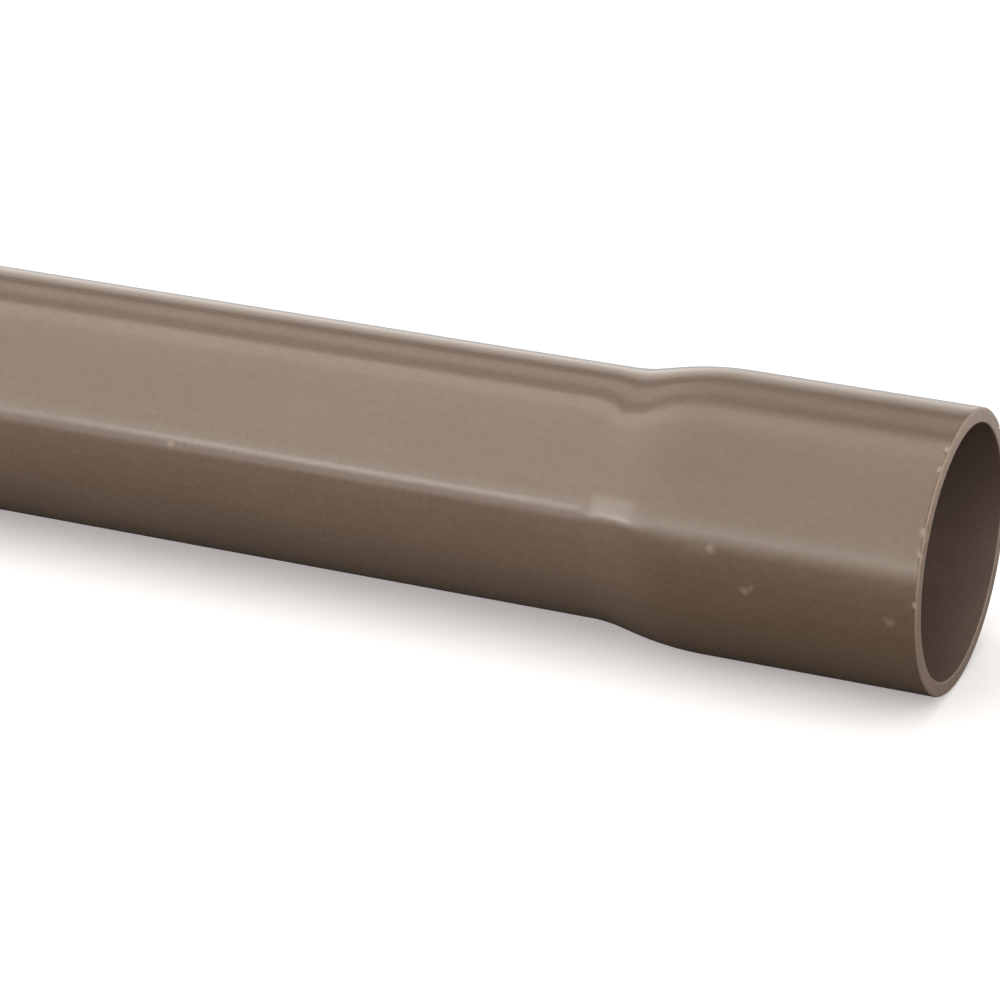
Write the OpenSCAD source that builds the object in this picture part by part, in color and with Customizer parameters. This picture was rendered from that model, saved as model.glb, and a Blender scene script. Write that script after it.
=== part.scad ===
// Belled PVC-U water pipe: one extruded piece, with one end swelled by heat into a socket.
// The plain end of the next pipe is cemented into the socket, so the socket's bore follows the barrel.
// The pipe lies along X on the plane Z = 0, socket to +X, with the origin under its middle. Millimetres.

/* [Barrel] */
// Outside diameter of the barrel
pipe_d = 63; // [40:0.5:110]
// Wall of the barrel
pipe_wall = 3.8; // [2:0.1:8]
// Overall length, from the plain end to the mouth of the socket
pipe_l = 1000; // [500:10:6000]

/* [Socket] */
// Gap for cement, all round, between the socket and the plain end that goes in
cement_gap = 0.1; // [0.05:0.05:0.5]
// Wall of the socket, stretched a little thinner than the barrel
socket_wall = 3.7; // [2:0.1:8]
// Straight depth of the socket, from its mouth to where it starts to close
socket_depth = 60; // [25:1:150]
// Length of the swell between barrel and socket
swell_l = 30; // [15:1:80]
// Length of the straight taper in the middle of the swell
taper_l = 4.5; // [0:0.5:14]
// Share of the swell's bending that the neck takes, next to the barrel; the shoulder takes the rest
neck_share = 0.33; // [0.2:0.01:0.8]

/* [Ends] */
// Radius that rounds the mouth's outer edge
lip_r = 0.8; // [0.2:0.1:1.2]
// Width of the 45 degree lead-in round the mouth's inner edge
lead_in = 0.2; // [0.2:0.1:0.8]
// Length of the chamfer that guides the plain end into a socket
chamfer_l = 4; // [1:0.5:6]
// Angle of that chamfer to the pipe's axis
chamfer_angle = 15; // [5:1:16]

/* [Hidden] */

$fn = 96;
arc_steps = 8;

pipe_r = pipe_d / 2;
bore_r = pipe_r - pipe_wall;
socket_bore_r = pipe_r + cement_gap;
socket_r = socket_bore_r + socket_wall;
chamfer_w = chamfer_l * tan(chamfer_angle);

// Distances along the axis from the plain end
socket_root = pipe_l - socket_depth;
swell_start = socket_root - swell_l;

// Unheld, the pipe rests on the socket's shoulder and on the foot of the plain end, so its axis leans a little
rest_tilt = atan2(socket_r - pipe_r, socket_root - chamfer_l);
rest_height = pipe_r * cos(rest_tilt) - chamfer_l * sin(rest_tilt);

// Points along an arc, in a half section that has the radius as x and the distance along the axis as y
function arc(centre, radius, from, to) =
    [for (i = [0:arc_steps])
        let (a = from + (to - from) * i / arc_steps)
        centre + radius * [cos(a), sin(a)]];

// One side of the swell, from radius r1 at the barrel to radius r2 at the socket:
// a neck bend, the straight taper and a shoulder bend, each tangent to the next
function swell(r1, r2) =
    let (
        slope = 2 * atan((r2 - r1) / (swell_l + taper_l)),
        bend_r = (swell_l - taper_l * cos(slope)) / sin(slope),
        neck_r = bend_r * neck_share,
        shoulder_r = bend_r - neck_r
    )
    concat(
        arc([r1 + neck_r, swell_start], neck_r, 180, 180 - slope),
        arc([r2 - shoulder_r, socket_root], shoulder_r, -slope, 0)
    );

function reversed(points) = [for (i = [len(points) - 1:-1:0]) points[i]];

outer_line = concat(
    [[pipe_r - chamfer_w, 0], [pipe_r, chamfer_l]],
    swell(pipe_r, socket_r),
    arc([socket_r - lip_r, pipe_l - lip_r], lip_r, 0, 90)
);

inner_line = concat(
    [[bore_r, 0]],
    swell(bore_r, socket_bore_r),
    [[socket_bore_r, pipe_l - lead_in], [socket_bore_r + lead_in, pipe_l]]
);

module pipe() {
    color([0.55, 0.49, 0.43])
        translate([-pipe_l / 2, 0, rest_height])
            rotate([0, 90 - rest_tilt, 0])
                rotate_extrude()
                    polygon(concat(outer_line, reversed(inner_line)));
}

pipe();
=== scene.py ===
# Belled PVC water pipe, lying on a pale studio floor
import bpy
import math
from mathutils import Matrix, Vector


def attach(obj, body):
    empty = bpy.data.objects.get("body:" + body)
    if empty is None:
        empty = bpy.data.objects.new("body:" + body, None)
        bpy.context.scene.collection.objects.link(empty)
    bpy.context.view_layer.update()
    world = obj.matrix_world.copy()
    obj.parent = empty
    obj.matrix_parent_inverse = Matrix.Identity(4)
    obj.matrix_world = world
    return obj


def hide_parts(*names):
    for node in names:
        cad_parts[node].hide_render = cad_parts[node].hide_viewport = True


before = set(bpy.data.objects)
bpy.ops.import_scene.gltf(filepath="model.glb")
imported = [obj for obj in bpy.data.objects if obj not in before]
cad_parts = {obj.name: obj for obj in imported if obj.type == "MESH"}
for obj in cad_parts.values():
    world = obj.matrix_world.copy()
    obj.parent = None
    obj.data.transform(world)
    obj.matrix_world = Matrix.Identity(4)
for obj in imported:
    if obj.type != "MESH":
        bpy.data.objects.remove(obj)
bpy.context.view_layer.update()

mm = 0.001

# the sizes of the CAD pipe, in millimetres and degrees
pipe = {
    "diameter": 63.0,
    "wall": 3.8,
    "length": 1000.0,
    "cementGap": 0.1,
    "socketWall": 3.7,
    "socketDepth": 60.0,
    "swell": 30.0,
    "taper": 4.5,        # straight part between the two bends of the swell
    "neckShare": 0.33,   # the neck bend's share of the two radii
    "lip": 0.8,
    "leadIn": 0.2,
    "chamfer": 4.0,
    "chamferAngle": 15.0,
    "sides": 256,        # faces round the pipe
    "bendRings": 14,     # rings in each bend of the swell
    "lipRings": 5,       # rings round the mouth's outer edge
    "barrelStep": 45.0,  # spacing of the rings along the barrel
    "mouthRings": (30.0, 4.0, 2.0),  # rings on the outside of the socket, back from the mouth
    "creaseAngle": 28.0,             # edges that turn more than this stay sharp
}

# nicks in the mouth's outer edge, in millimetres and degrees
nicks = {
    # turn up from the front and reach of each
    "places": [(67.1, 1.3), (57.1, 1.2), (31.0, 1.5), (22.2, 1.0), (2.6, 0.9), (141.0, 1.1)],
    "inset": 0.2,        # the middle of a nick lies this far inside the edge's corner
    "dentShare": 0.75,   # share of the reach that is pushed
    "dentIn": 0.3,
    "dentBack": 0.2,
}


def socketRadius(size):
    return size["diameter"] / 2 + size["cementGap"] + size["socketWall"]


def arcStations(radius, height, bend, start, stop, count):
    # (height, radius) of rings along an arc that turns about one centre
    turns = [math.radians(start + (stop - start) * i / count) for i in range(count + 1)]
    return [(height + bend * math.sin(a), radius + bend * math.cos(a)) for a in turns]


def swellStations(size, inner, outer):
    # neck bend, straight taper, shoulder bend, from the barrel's radius to the socket's
    root = size["length"] - size["socketDepth"]
    start = root - size["swell"]
    slope = 2 * math.atan((outer - inner) / (size["swell"] + size["taper"]))
    bend = (size["swell"] - size["taper"] * math.cos(slope)) / math.sin(slope)
    neck = bend * size["neckShare"]
    shoulder = bend - neck
    turn = math.degrees(slope)
    count = size["bendRings"]
    return (arcStations(inner + neck, start, neck, 180, 180 - turn, count)
            + arcStations(outer - shoulder, root, shoulder, -turn, 0, count))


def barrelStations(size, first, last, radius):
    count = max(1, round((last - first) / size["barrelStep"]))
    return [(first + (last - first) * i / count, radius) for i in range(1, count)]


def pipeOutline(size):
    # rings from the plain end over the outside to the mouth, and back through the bore
    outerR = size["diameter"] / 2
    boreR = outerR - size["wall"]
    socketBoreR = outerR + size["cementGap"]
    socketR = socketRadius(size)
    length = size["length"]
    lip = size["lip"]
    start = length - size["socketDepth"] - size["swell"]
    chamferWidth = size["chamfer"] * math.tan(math.radians(size["chamferAngle"]))
    outside = [(0, outerR - chamferWidth), (size["chamfer"], outerR)]
    outside += barrelStations(size, size["chamfer"], start, outerR)
    outside += swellStations(size, outerR, socketR)
    outside += [(length - back, socketR) for back in size["mouthRings"]]
    outside += arcStations(socketR - lip, length - lip, lip, 0, 90, size["lipRings"])
    inside = [(0, boreR)]
    inside += barrelStations(size, 0, start, boreR)
    inside += swellStations(size, boreR, socketBoreR)
    inside += [(length - size["socketDepth"] / 2, socketBoreR),
               (length - size["leadIn"], socketBoreR), (length, socketBoreR + size["leadIn"])]
    return outside + inside[::-1]


def deselect():
    if bpy.context.object and bpy.context.object.mode != "OBJECT":
        bpy.ops.object.mode_set(mode="OBJECT")
    bpy.ops.object.select_all(action="DESELECT")


def pickOut(piece):
    deselect()
    piece.select_set(True)
    bpy.context.view_layer.objects.active = piece


def buildPipe(size):
    # one circle, pulled ring by ring round the whole outline and closed at the plain end
    outline = pipeOutline(size)
    deselect()
    bpy.ops.mesh.primitive_circle_add(vertices=size["sides"], radius=outline[0][1] * mm, location=(0, 0, 0))
    piece = bpy.context.object
    piece.name = "pipeBody"
    bpy.ops.object.mode_set(mode="EDIT")
    bpy.ops.mesh.select_all(action="SELECT")
    for before, after in zip(outline, outline[1:]):
        bpy.ops.mesh.extrude_region_move(
            TRANSFORM_OT_translate={"value": (0, 0, (after[0] - before[0]) * mm)})
        grow = after[1] / before[1]
        bpy.ops.transform.resize(value=(grow, grow, 1), center_override=(0, 0, after[0] * mm))
    bpy.ops.mesh.select_all(action="DESELECT")
    bpy.ops.mesh.select_mode(type="EDGE")
    bpy.ops.mesh.select_non_manifold()
    bpy.ops.mesh.bridge_edge_loops()
    bpy.ops.mesh.select_all(action="SELECT")
    bpy.ops.mesh.normals_make_consistent(inside=False)
    bpy.ops.object.mode_set(mode="OBJECT")
    bpy.ops.object.shade_smooth_by_angle(angle=math.radians(size["creaseAngle"]))
    return piece


def dentEdge(piece, size, edge):
    # pushes the mouth's outer edge in and back at each nick
    socketR = socketRadius(size)
    middleR = (socketR - edge["inset"]) * mm
    for turn, reach in edge["places"]:
        angle = math.radians(turn)
        centre = Vector((-math.sin(angle) * middleR, -math.cos(angle) * middleR,
                         (size["length"] - edge["inset"]) * mm))
        pickOut(piece)
        for kind in (piece.data.polygons, piece.data.edges):
            kind.foreach_set("select", [False] * len(kind))
        pushed = reach * edge["dentShare"] * mm
        near = [(vertex.co - centre).length < pushed for vertex in piece.data.vertices]
        piece.data.vertices.foreach_set("select", near)
        bpy.ops.object.mode_set(mode="EDIT")
        bpy.ops.mesh.select_mode(type="VERT")
        inward = -edge["dentIn"] / socketR
        bpy.ops.transform.translate(value=(centre.x * inward, centre.y * inward, -edge["dentBack"] * mm))
    bpy.ops.object.mode_set(mode="OBJECT")


def restLean(size):
    # tilt and axis height of the pipe as it rests on the socket's shoulder and the foot of its plain end
    rise = size["cementGap"] + size["socketWall"]
    tilt = math.atan2(rise, size["length"] - size["socketDepth"] - size["chamfer"])
    return tilt, size["diameter"] / 2 * math.cos(tilt) - size["chamfer"] * math.sin(tilt)


def layDown(piece, size):
    tilt, height = restLean(size)
    piece.rotation_euler = (0, math.radians(90) - tilt, 0)
    piece.location = (-size["length"] / 2 * mm, 0, height * mm)
    pickOut(piece)
    bpy.ops.object.transform_apply(location=True, rotation=True, scale=True)


body = buildPipe(pipe)
dentEdge(body, pipe, nicks)
layDown(body, pipe)
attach(body, "root")
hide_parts("pipe")
print("pipe made:", len(body.data.polygons), "faces")


def newMaterial(name):
    material = bpy.data.materials.new(name)
    material.use_nodes = True
    material.node_tree.nodes.clear()
    return material, material.node_tree


def addNode(tree, kind, inputs, **settings):
    # a node with its settings, and its inputs given as numbers or as sockets to link
    node = tree.nodes.new(kind)
    for name, value in settings.items():
        setattr(node, name, value)
    for name, value in inputs.items():
        if isinstance(value, bpy.types.NodeSocket):
            tree.links.new(value, node.inputs[name])
        else:
            node.inputs[name].default_value = value
    return node


def calc(tree, operation, first, second=0.0):
    return addNode(tree, "ShaderNodeMath", {0: first, 1: second}, operation=operation).outputs[0]


def vector(tree, operation, first, second, answer=0):
    inputs = {0: first, ("Scale" if operation == "SCALE" else 1): second}
    return addNode(tree, "ShaderNodeVectorMath", inputs, operation=operation).outputs[answer]


def ease(tree, value, low, high, bottom=0.0, top=1.0):
    # smooth step from bottom to top as value goes from low to high
    return addNode(tree, "ShaderNodeMapRange",
                   {"Value": value, "From Min": low, "From Max": high, "To Min": bottom, "To Max": top},
                   interpolation_type="SMOOTHSTEP").outputs[0]


def blend(tree, share, first, second):
    return addNode(tree, "ShaderNodeMix", {0: share, 6: first, 7: second}, data_type="RGBA").outputs[2]


def noise(tree, place, stretch, detail=2.0, roughness=0.5):
    # soft noise; stretch gives its waves per metre along the pipe and across it
    along, across = stretch
    moved = addNode(tree, "ShaderNodeMapping", {"Vector": place, "Scale": (along, across, across)})
    inputs = {"Vector": moved.outputs[0], "Scale": 1.0, "Detail": detail, "Roughness": roughness}
    return addNode(tree, "ShaderNodeTexNoise", inputs).outputs[0]


def around(tree, value, spread):
    # turns noise about its middle into a factor about one
    return addNode(tree, "ShaderNodeMapRange",
                   {"Value": value, "From Min": 0.25, "From Max": 0.75,
                    "To Min": 1 - spread, "To Max": 1 + spread}).outputs[0]


def largest(tree, values):
    total = values[0]
    for value in values[1:]:
        total = calc(tree, "MAXIMUM", total, value)
    return total


def summed(tree, values):
    total = values[0]
    for value in values[1:]:
        total = calc(tree, "ADD", total, value)
    return total


skin = {
    "colour": (0.144, 0.1035, 0.078, 1),
    "socketColour": (0.122, 0.084, 0.0585, 1),  # the heated end comes out a little darker
    "boreColour": (0.143, 0.098, 0.081, 1),
    "cutColour": (0.282, 0.216, 0.176),         # sawn faces and the turned chamfer
    "chipColour": (0.360, 0.300, 0.250, 1),     # nicks and specks
    "roughness": 0.14,
    "socketRoughness": 0.205,
    "boreDuller": 0.36,        # added to the roughness inside
    "cutRoughness": 0.48,
    "markDulling": 0.6,        # a mark's share of the way to the roughness of a cut
    "ior": 1.54,
    "specular": 0.66,
    "topPaintedLight": (1.18, -0.2),   # painted light: the cut faces' tops are this much paler, as if lit more from above, fading out at this share of the radius
    # where the zones change, in millimetres: from the swell's start, from the mouth, from the plain end, and
    # before the chamfer's foot
    "socketFade": 12.0,
    "mouthFade": (0.55, 0.25),
    "plainFade": (0.35, 0.1),
    "chamferFade": 0.3,
    # each noise: amount, waves per metre along the pipe and across it, detail, and roughness
    # change of tone
    "patches": (0.06, (28, 60), 3.0, 0.55),
    "dieLines": (0.035, (3, 620), 2.0, 0.6),
    "cloud": (0.08, (640, 640), 2.0, 0.6),
    # change of gloss
    "glossPatches": (0.22, (35, 90), 4.0, 0.6),
    "glossLines": 0.10,        # by the die lines
    # heights in millimetres
    "waves": (0.045, (24, 46), 1.0),
    "ripple": (0.01125, (95, 150), 1.0),
    "sawLines": (0.012, (300, 1400), 2.0),
    "lineHeight": 0.0016,
    "cloudHeight": 0.0008,
    "markDepth": -0.008,
    "boreRelief": 0.3,         # share of the relief that is left inside
    # dust: cells per metre, inner and outer radius in cells, share of cells without, strength
    "dust": (60.0, 0.012, 0.030, 0.62, 0.25),
    "ragged": (0.2, (900, 900), 1.0),  # the edges of marks waver by this, in millimetres
    "nickSpot": (0.4, 0.1, 0.3, 0.9),  # a nick's pale spot: back from the mouth, in, added reach, strength
    # distance from the plain end, turn up from the front, reach, and strength of each speck
    "specks": [(948.3, 10.5, 1.9, 0.34), (945.6, 9.6, 2.3, 0.11), (943.2, 9.0, 2.0, 0.09),
               (957.4, -4.1, 1.8, 0.32), (958.9, -2.7, 1.5, 0.26), (993.3, -6.6, 2.0, 0.30),
               (802.8, 13.4, 1.6, 0.45), (972.0, 118.0, 1.6, 0.25), (611.0, 71.0, 1.3, 0.2),
               (344.0, 152.0, 1.8, 0.3), (702.0, -38.0, 1.2, 0.2), (158.0, 38.0, 1.5, 0.25)],
}


def onPipe(size, along, turn, radius):
    # a point on the pipe, in metres from the middle of its axis
    angle = math.radians(turn)
    return ((along - size["length"] / 2) * mm, -radius * math.cos(angle) * mm, radius * math.sin(angle) * mm)


def pipePlace(tree, size):
    # object coordinates turned so that x runs along the pipe's axis from its middle
    tilt, height = restLean(size)
    spot = addNode(tree, "ShaderNodeTexCoord", {})
    half = size["length"] / 2
    middle = ((half * math.cos(tilt) - half) * mm, 0, (height + half * math.sin(tilt)) * mm)
    return addNode(tree, "ShaderNodeMapping",
                   {"Vector": spot.outputs["Object"], "Location": middle, "Rotation": (0, -tilt, 0)},
                   vector_type="TEXTURE").outputs[0]


def pipeZones(tree, place, axes, look, size):
    # 1 in the bore, on the socket, and on the cut ends
    along = axes.outputs["X"]
    outward = vector(tree, "MULTIPLY", place, (0, 1, 1))
    radius = addNode(tree, "ShaderNodeVectorMath", {0: outward}, operation="LENGTH").outputs["Value"]
    half = size["length"] / 2 * mm
    root = half - size["socketDepth"] * mm
    start = root - size["swell"] * mm
    barrelMiddle = (size["diameter"] / 2 - size["wall"] / 2) * mm
    socketMiddle = (socketRadius(size) - size["socketWall"] / 2) * mm
    inside = calc(tree, "LESS_THAN", radius, ease(tree, along, start, root, barrelMiddle, socketMiddle))
    socket = ease(tree, along, start + look["socketFade"] * mm, root)
    mouthCut = ease(tree, along, *[half - back * mm for back in look["mouthFade"]])
    plainCut = ease(tree, along, *[-half + back * mm for back in look["plainFade"]])
    ends = calc(tree, "MAXIMUM", mouthCut, plainCut)
    bore = calc(tree, "MULTIPLY", inside, calc(tree, "SUBTRACT", 1.0, ends))
    foot = size["chamfer"]
    chamferCut = ease(tree, along, -half + foot * mm, -half + (foot - look["chamferFade"]) * mm)
    outer = calc(tree, "SUBTRACT", 1.0, inside)
    return bore, socket, calc(tree, "MAXIMUM", ends, calc(tree, "MULTIPLY", chamferCut, outer))


def spots(tree, place, points):
    # each point's strength at the point, falling to nothing at its reach
    found = []
    for centre, reach, strength in points:
        gap = vector(tree, "DISTANCE", place, centre, "Value")
        found.append(ease(tree, gap, 0.0, reach * mm, strength, 0.0))
    return largest(tree, found)


def pipeMarks(tree, place, look, size, edge):
    # specks and nicks at their places, and a sprinkle of dust
    sway, *grain = look["ragged"]
    wavering = noise(tree, place, *grain)
    sway = sway * mm
    shift = addNode(tree, "ShaderNodeCombineXYZ", {0: ease(tree, wavering, 0.3, 0.7, -sway, sway),
                                                   2: ease(tree, wavering, 0.7, 0.3, -sway, sway)})
    shaken = vector(tree, "ADD", place, shift.outputs[0])
    socketR = socketRadius(size)
    root = size["length"] - size["socketDepth"]
    onSkin = [(onPipe(size, along, turn, socketR if along > root else size["diameter"] / 2), reach, strength)
              for along, turn, reach, strength in look["specks"]]
    back, inside, added, strength = look["nickSpot"]
    onEdge = [(onPipe(size, size["length"] - back, turn, socketR - inside), reach + added, strength)
              for turn, reach in edge["places"]]
    density, inner, outer, without, dustStrength = look["dust"]
    cells = addNode(tree, "ShaderNodeTexVoronoi", {"Vector": shaken, "Scale": density})
    pick = addNode(tree, "ShaderNodeSeparateColor", {0: cells.outputs["Color"]}).outputs[0]
    dust = calc(tree, "MULTIPLY", ease(tree, cells.outputs["Distance"], outer, inner),
                calc(tree, "GREATER_THAN", pick, without))
    return largest(tree, [spots(tree, shaken, onSkin), spots(tree, place, onEdge),
                          calc(tree, "MULTIPLY", dust, dustStrength)])


def pvcMaterial(look, size, edge):
    material, tree = newMaterial("extrudedPvc")
    place = pipePlace(tree, size)
    axes = addNode(tree, "ShaderNodeSeparateXYZ", {0: place})
    bore, socket, cut = pipeZones(tree, place, axes, look, size)
    marks = pipeMarks(tree, place, look, size, edge)
    # tone: soft patches, die lines along the pipe, and a fine cloud
    patchSpread, *grain = look["patches"]
    patches = noise(tree, place, *grain)
    lineSpread, *grain = look["dieLines"]
    lines = noise(tree, place, *grain)
    cloudSpread, *grain = look["cloud"]
    cloud = noise(tree, place, *grain)
    tone = calc(tree, "MULTIPLY", around(tree, patches, patchSpread), around(tree, lines, lineSpread))
    tone = calc(tree, "MULTIPLY", tone, around(tree, cloud, cloudSpread))
    # colour by zone
    top = socketRadius(size) * mm
    paler, foot = look["topPaintedLight"]
    # painted light: the cut faces grow paler toward the top, standing in for more light falling there
    paintedTopLight = ease(tree, axes.outputs["Z"], foot * top, top, 1.0, paler)
    colour = blend(tree, socket, look["colour"], look["socketColour"])
    colour = blend(tree, bore, colour, look["boreColour"])
    colour = blend(tree, cut, colour, vector(tree, "SCALE", look["cutColour"], paintedTopLight))
    colour = blend(tree, marks, colour, look["chipColour"])
    # gloss: the socket is a little duller, cut faces and marks are matt
    gloss = ease(tree, socket, 0.0, 1.0, look["roughness"], look["socketRoughness"])
    gloss = calc(tree, "ADD", gloss, calc(tree, "MULTIPLY", bore, look["boreDuller"]))
    glossSpread, *grain = look["glossPatches"]
    gloss = calc(tree, "MULTIPLY", gloss, around(tree, noise(tree, place, *grain), glossSpread))
    gloss = calc(tree, "MULTIPLY", gloss, around(tree, lines, look["glossLines"]))
    dull = calc(tree, "MAXIMUM", cut, calc(tree, "MULTIPLY", marks, look["markDulling"]))
    wide = calc(tree, "MULTIPLY", calc(tree, "SUBTRACT", look["cutRoughness"], gloss), dull)
    # relief: slow waves in the wall, die lines, grain, pits at the marks, saw lines on the cuts
    relief = []
    for height, *grain in (look["waves"], look["ripple"]):
        relief.append(calc(tree, "MULTIPLY", noise(tree, place, *grain), height))
    relief.append(calc(tree, "MULTIPLY", lines, look["lineHeight"]))
    relief.append(calc(tree, "MULTIPLY", cloud, look["cloudHeight"]))
    relief.append(calc(tree, "MULTIPLY", marks, look["markDepth"]))
    height, *grain = look["sawLines"]
    relief.append(calc(tree, "MULTIPLY", calc(tree, "MULTIPLY", noise(tree, place, *grain), cut), height))
    total = calc(tree, "MULTIPLY", summed(tree, relief), ease(tree, bore, 0.0, 1.0, 1.0, look["boreRelief"]))
    bump = addNode(tree, "ShaderNodeBump", {"Height": total, "Strength": 1.0, "Distance": mm})
    shader = addNode(tree, "ShaderNodeBsdfPrincipled",
                     {"Base Color": vector(tree, "SCALE", colour, tone),
                      "Roughness": calc(tree, "ADD", gloss, wide), "Normal": bump.outputs[0],
                      "IOR": look["ior"], "Specular IOR Level": look["specular"]})
    addNode(tree, "ShaderNodeOutputMaterial", {"Surface": shader.outputs[0]})
    return material


body.data.materials.clear()
body.data.materials.append(pvcMaterial(skin, pipe, nicks))
print("material made:", len(body.data.materials[0].node_tree.nodes), "nodes")

stage = {
    "floorSize": 40.0,
    "seenColour": (0.84, 0.90, 0.96, 1),       # white under the warm light
    "bounceColour": (0.115, 0.115, 0.115, 1),  # what the floor throws back onto the pipe
    "fill": (0.28, 0.257, 0.252, 1),           # keeps the shadow soft and pale
    "nearPipe": (0.5, 0.8),            # between these distances the floor's mirror image turns white
    "alongShare": 0.6,                 # distances along the pipe count this much
    "behindPipe": (0.10, 0.14, 0.5),   # and between these at the pipe's back it turns white by this share
}


def makeFloor(size):
    deselect()
    bpy.ops.mesh.primitive_plane_add(size=size["floorSize"], location=(0, 0, 0))
    floor = bpy.context.object
    floor.name = "studioFloor"
    material, tree = newMaterial("paleFloor")
    path = addNode(tree, "ShaderNodeLightPath", {})
    spot = addNode(tree, "ShaderNodeTexCoord", {}).outputs["Object"]
    squeezed = addNode(tree, "ShaderNodeMapping", {"Vector": spot, "Scale": (size["alongShare"], 1, 1)})
    distance = addNode(tree, "ShaderNodeVectorMath", {0: squeezed.outputs[0]}, operation="LENGTH")
    depth = addNode(tree, "ShaderNodeSeparateXYZ", {0: spot}).outputs["Y"]
    start, end, share = size["behindPipe"]
    far = calc(tree, "MAXIMUM", ease(tree, distance.outputs["Value"], *size["nearPipe"]),
               ease(tree, depth, start, end, 0.0, share))
    mirrored = calc(tree, "MAXIMUM", path.outputs["Is Glossy Ray"], path.outputs["Is Transmission Ray"])
    white = calc(tree, "MAXIMUM", path.outputs["Is Camera Ray"], calc(tree, "MULTIPLY", mirrored, far))
    paint = blend(tree, white, size["bounceColour"], size["seenColour"])
    shader = addNode(tree, "ShaderNodeBsdfDiffuse", {"Color": paint})
    glow = addNode(tree, "ShaderNodeEmission", {"Color": size["fill"], "Strength": white})
    both = addNode(tree, "ShaderNodeAddShader", {0: shader.outputs[0], 1: glow.outputs[0]})
    addNode(tree, "ShaderNodeOutputMaterial", {"Surface": both.outputs[0]})
    floor.data.materials.append(material)


makeFloor(stage)

studio = {
    # angle over the pipe, from the front horizon (0) over the top to the back horizon (180), and tone there
    "bands": [(0, 1.75), (2, 1.75), (4.2, 2.5), (10, 3.1), (15, 2.9), (20, 2.5), (58, 2.15), (95, 2.15),
              (104, 2.7), (113, 2.7), (118, 0.6), (127, 0.6), (133, 1.3), (145, 1.1), (148, 0.36),
              (157, 0.36), (161, 1.0), (172, 1.5), (180, 2.0)],
    # place across the pipe's length, from the plain end (-1) to the mouth (1), and share of the bands there
    "side": [(-0.97, 1.0), (-0.9, 0.5), (-0.86, 0.5), (-0.8, 1.0), (0.10, 1.0), (0.26, 0.25), (0.46, 0.25),
             (0.60, 0.8), (1.0, 0.8)],
    "sideTone": 0.25,            # takes the rest of the share
    "caps": (0.975, 0.99, 1.4),  # past these places at both ends one even tone takes over
    "sink": (6.0, -0.62, -0.46),  # toward the plain end the bands sink by this angle, between these places
    # panels on top of the bands: angles, places, and tone; the first four are one long strip of changing tone
    "panels": [((4.5, 8.5), (-1.2, -0.61), 3.8), ((4.5, 8.5), (-0.61, -0.445), 1.5),
               ((4.5, 8.5), (-0.445, -0.345), 3.8), ((4.5, 8.5), (-0.345, 1.2), 2.6),
               ((4.0, 26.0), (-0.78, -0.61), 1.6)],
    "panelEdges": (0.006, 0.015),  # softness of the panels' long and short edges
    "tint": (0.85, 0.79, 0.73),
    "scale": 8.0,                  # tones are kept below one and multiplied by this at the end
}


def toneAlong(tree, value, stops):
    # stops give a place from 0 to 1 and the tone there
    node = addNode(tree, "ShaderNodeValToRGB", {0: value})
    elements = node.color_ramp.elements
    elements.remove(elements[-1])
    for number, (position, tone) in enumerate(stops):
        element = elements[0] if number == 0 else elements.new(position)
        element.position = position
        element.color = (tone, tone, tone, 1)
    return node.outputs[0]


def between(tree, value, limits, soft):
    low, high = limits
    return calc(tree, "MULTIPLY", ease(tree, value, low - soft, low + soft),
                ease(tree, value, high + soft, high - soft))


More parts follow.
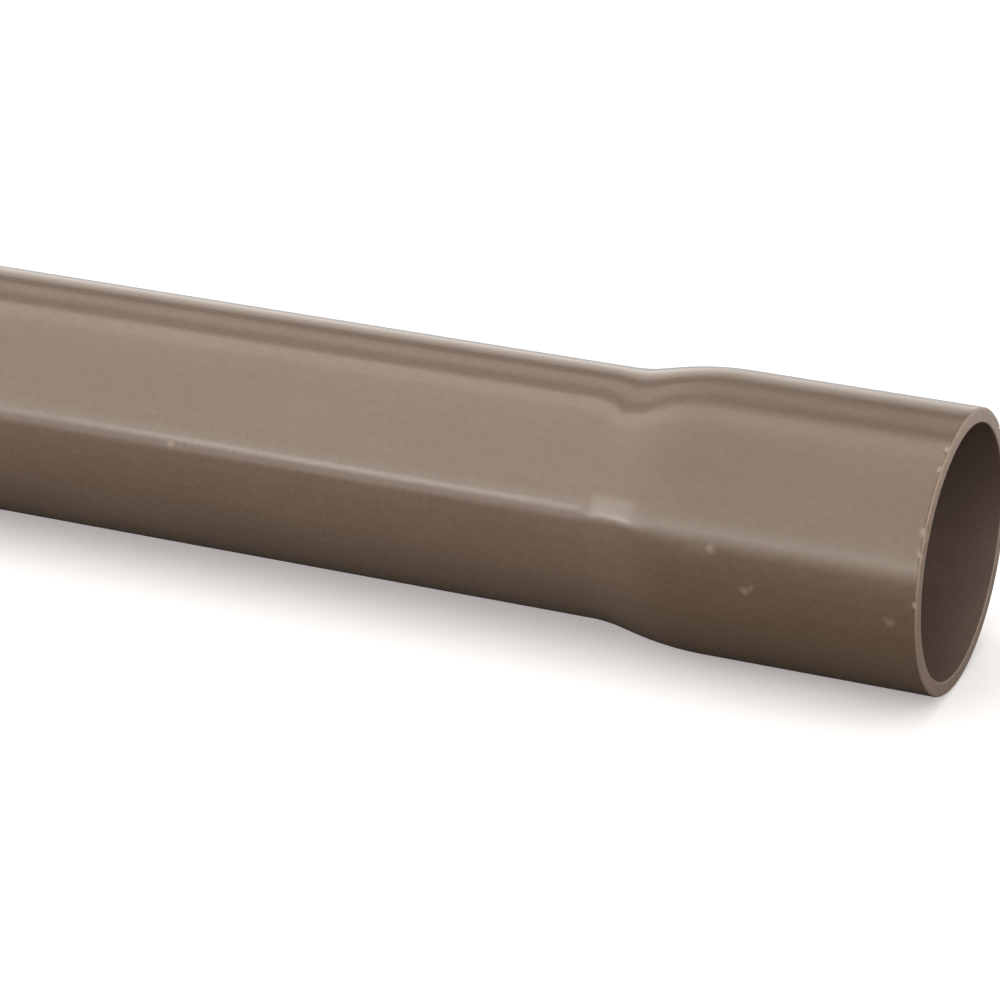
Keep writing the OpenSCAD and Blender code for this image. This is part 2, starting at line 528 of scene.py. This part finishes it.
def makeWorld(look):
    # a tent of soft boxes: long bands over the pipe, dimmer sides, and a few panels
    scale = look["scale"]
    world = bpy.data.worlds.new("softboxes")
    bpy.context.scene.world = world
    world.use_nodes = True
    tree = world.node_tree
    tree.nodes.clear()
    way = addNode(tree, "ShaderNodeTexCoord", {})
    axes = addNode(tree, "ShaderNodeSeparateXYZ", {0: way.outputs["Generated"]})
    side = axes.outputs["X"]
    over = calc(tree, "ARCTAN2", axes.outputs["Z"], calc(tree, "MULTIPLY", axes.outputs["Y"], -1.0))
    sink, full, none = look["sink"]
    turn = calc(tree, "ADD", calc(tree, "DIVIDE", over, math.pi), ease(tree, side, full, none, sink / 180, 0.0))
    bands = toneAlong(tree, turn, [(angle / 180, tone / scale) for angle, tone in look["bands"]])
    across = addNode(tree, "ShaderNodeMapRange", {"Value": side, "From Min": -1.0, "From Max": 1.0})
    share = toneAlong(tree, across.outputs[0], [((place + 1) / 2, tone) for place, tone in look["side"]])
    dim = look["sideTone"] / scale
    boxes = blend(tree, share, (dim, dim, dim, 1), bands)
    inner, outer, tone = look["caps"]
    even = tone / scale
    end = ease(tree, calc(tree, "ABSOLUTE", side), inner, outer)
    boxes = blend(tree, end, boxes, (even, even, even, 1))
    longEdge, shortEdge = look["panelEdges"]
    extra = summed(tree, [calc(tree, "MULTIPLY",
                               calc(tree, "MULTIPLY", between(tree, turn, [a / 180 for a in angles], longEdge),
                                    between(tree, side, places, shortEdge)), tone / scale)
                          for angles, places, tone in look["panels"]])
    panels = addNode(tree, "ShaderNodeCombineXYZ", {0: extra, 1: extra, 2: extra})
    lit = vector(tree, "ADD", boxes, panels.outputs[0])
    warm = vector(tree, "MULTIPLY", lit, look["tint"])
    light = addNode(tree, "ShaderNodeBackground", {"Color": warm, "Strength": scale})
    addNode(tree, "ShaderNodeOutputWorld", {"Surface": light.outputs[0]})


makeWorld(studio)
print("stage made")

camera = {
    "azimuth": 23.39,
    "elevation": 24.36,
    "distance": 1.02482,
    "lens": 152.89,
    "sensor": 36,
    "aim": (0.39365, -0.03362, 0.04425),
}


def makeCamera(look):
    turn, lift = math.radians(look["azimuth"]), math.radians(look["elevation"])
    back = Vector((math.sin(turn) * math.cos(lift), -math.cos(turn) * math.cos(lift), math.sin(lift)))
    data = bpy.data.cameras.new("studioCamera")
    data.lens = look["lens"]
    data.sensor_width = look["sensor"]
    holder = bpy.data.objects.new("studioCamera", data)
    bpy.context.collection.objects.link(holder)
    holder.location = Vector(look["aim"]) + back * look["distance"]
    holder.rotation_euler = back.to_track_quat("Z", "Y").to_euler()
    bpy.context.scene.camera = holder


makeCamera(camera)
bpy.context.scene.view_settings.view_transform = "Standard"
print("camera set")
